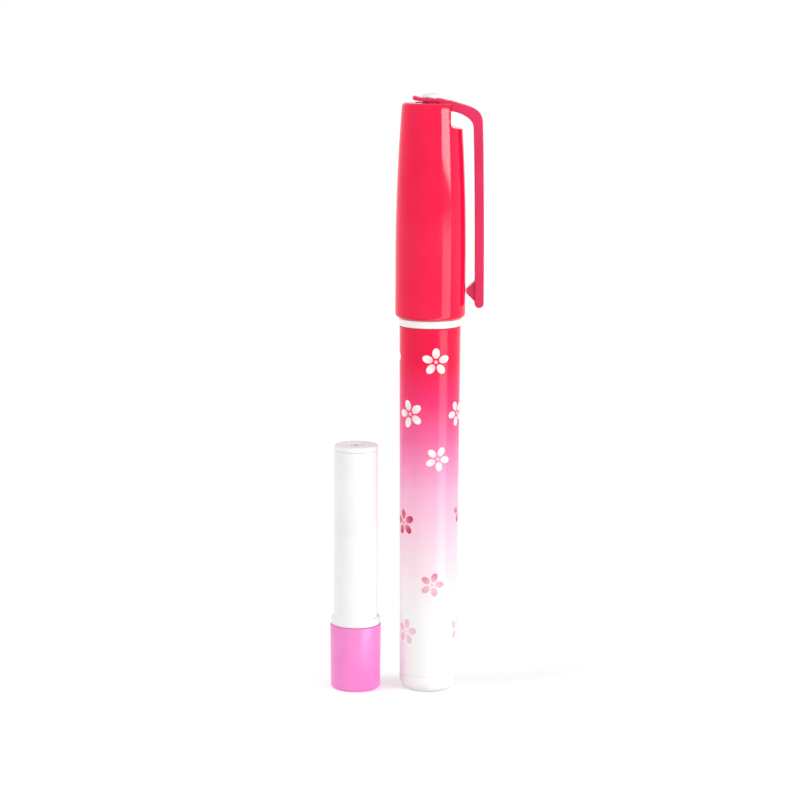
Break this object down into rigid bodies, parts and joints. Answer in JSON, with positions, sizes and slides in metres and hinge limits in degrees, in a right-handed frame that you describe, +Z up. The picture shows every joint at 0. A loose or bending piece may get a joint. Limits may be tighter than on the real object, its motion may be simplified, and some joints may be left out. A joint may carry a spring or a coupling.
{
  "type": "fabric glue pen",
  "caption": "Capped twist-up fabric glue pen with a side clip, standing on its tail, and a spare glue refill standing on its own cap.",
  "frame": {"origin": "centre of the pen's flat tail, on the surface that it stands on", "axes": "+Z up the pen's axis from the tail to the cap; +X towards the pocket clip; the spare refill stands at -X"},
  "size_m": [0.0349, 0.016, 0.138],
  "materials": {
    "barrel": "printed gloss",
    "tail_plug": "moulded gloss",
    "drive_stem": "moulded",
    "drive_knob": "moulded",
    "feed_screw": "moulded",
    "twist_neck": "moulded gloss",
    "cartridge_tube": "moulded satin",
    "glue_carrier": "moulded",
    "glue_stick": "waxy",
    "cap_shell": "moulded gloss",
    "inner_cap": "moulded",
    "clip_tongue": "moulded gloss",
    "pocket_clip": "moulded gloss",
    "top_stud": "moulded gloss",
    "refill_cap": "translucent gloss",
    "refill_tube": "moulded satin",
    "refill_drive_knob": "moulded",
    "refill_feed_screw": "moulded",
    "refill_glue_carrier": "moulded",
    "refill_glue_stick": "waxy"
  },
  "bodies": {
    "barrel": {"barrel": "barrel", "tail_plug": "tail_plug", "drive_stem": "drive_stem", "drive_knob": "drive_knob", "feed_screw": "feed_screw"},
    "front_section": {"twist_neck": "twist_neck", "cartridge_tube": "cartridge_tube"},
    "glue": {"glue_carrier": "glue_carrier", "glue_stick": "glue_stick"},
    "cap": {"cap_shell": "cap_shell", "inner_cap": "inner_cap", "clip_tongue": "clip_tongue", "top_stud": "top_stud"},
    "clip": {"pocket_clip": "pocket_clip"},
    "refill_cap": {"refill_cap": "refill_cap"},
    "refill_tube": {"refill_tube": "refill_tube"},
    "refill_drive": {"refill_drive_knob": "refill_drive_knob", "refill_feed_screw": "refill_feed_screw"},
    "refill_glue": {"refill_glue_carrier": "refill_glue_carrier", "refill_glue_stick": "refill_glue_stick"}
  },
  "joints": [
    {"name": "feed_twist", "type": "hinge", "parent": "barrel", "child": "front_section", "pos_m": [0, 0, 0.085], "axis": [0, 0, 1], "range_deg": [0, 1351]},
    {"name": "glue_feed", "type": "slide", "parent": "front_section", "child": "glue", "axis": [0, 0, 1], "range_m": [0, 0.015]},
    {"name": "cap_pull", "type": "slide", "parent": "front_section", "child": "cap", "axis": [0, 0, 1], "range_m": [0, 0.055]},
    {"name": "clip_flex", "type": "hinge", "parent": "cap", "child": "clip", "pos_m": [0.0046, 0, 0.1352], "axis": [0, -1, 0], "range_deg": [0, 5], "stiffness_Nm_per_rad": 2.5},
    {"name": "refill_lift", "type": "slide", "parent": "barrel", "child": "refill_cap", "axis": [0, 0, 1], "range_m": [0, 0.12]},
    {"name": "refill_uncap", "type": "slide", "parent": "refill_cap", "child": "refill_tube", "axis": [0, 0, 1], "range_m": [0, 0.025]},
    {"name": "refill_twist", "type": "hinge", "parent": "refill_tube", "child": "refill_drive", "pos_m": [-0.01685, 0, 0.0561], "axis": [0, 0, 1], "range_deg": [0, 216.5]},
    {"name": "refill_glue_feed", "type": "slide", "parent": "refill_tube", "child": "refill_glue", "axis": [0, 0, -1], "range_m": [0, 0.0024]}
  ],
  "couplings": [
    {"joint": "feed_twist", "follows": "glue_feed", "rad_per_m": 1570.8},
    {"joint": "refill_twist", "follows": "refill_glue_feed", "rad_per_m": 1570.8}
  ]
}
